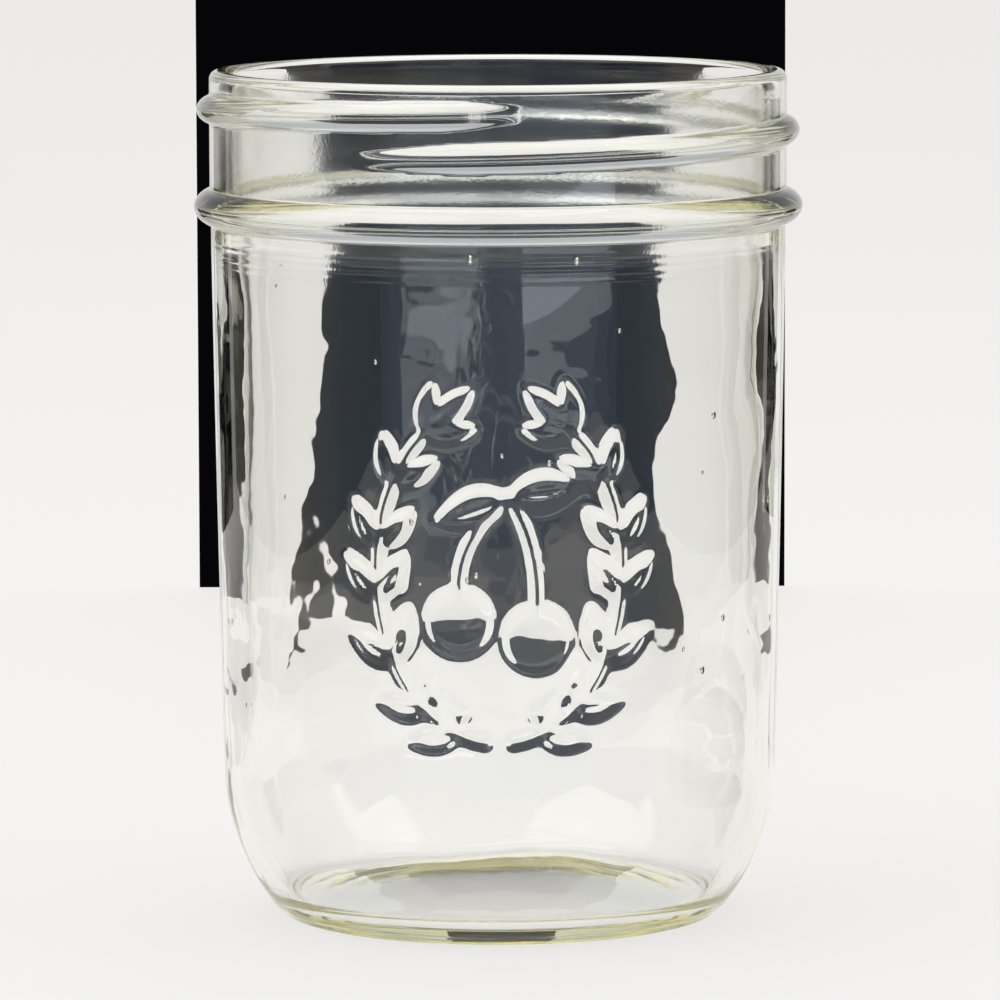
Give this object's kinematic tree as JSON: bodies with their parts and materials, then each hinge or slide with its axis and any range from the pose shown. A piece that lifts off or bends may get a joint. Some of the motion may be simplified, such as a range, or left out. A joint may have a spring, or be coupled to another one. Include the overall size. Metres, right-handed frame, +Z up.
{
  "type": "canning jar",
  "caption": "Open wide-mouth glass canning jar with a screw thread and a bead, and beside it the upturned screw band holding a flat lid with its sealing ring.",
  "frame": {"origin": "centre of the ring that the jar stands on, at table height", "axes": "+Z up along the jar's axis, -Y towards the viewer, +X towards the closure that lies beside the jar"},
  "size_m": [0.2274, 0.0902, 0.1216],
  "materials": {
    "clear_glass": "fire-polished, faint yellow-olive tint",
    "tinplate": "bright tinplate, rolled",
    "lacquered_tinplate": "satin food lacquer",
    "sealing_compound": "smooth, matt"
  },
  "bodies": {
    "jar": {"glass_jar": "clear_glass"},
    "band": {"screw_band": "tinplate"},
    "lid": {"lid_disc": "lacquered_tinplate", "sealing_ring": "sealing_compound"}
  },
  "joints": [
    {"name": "band_lift", "type": "slide", "parent": "jar", "child": "band", "axis": [0, 0, 1], "range_m": [0, 0.15]},
    {"name": "lid_lift", "type": "slide", "parent": "band", "child": "lid", "axis": [0, 0, 1], "range_m": [0, 0.05]}
  ]
}
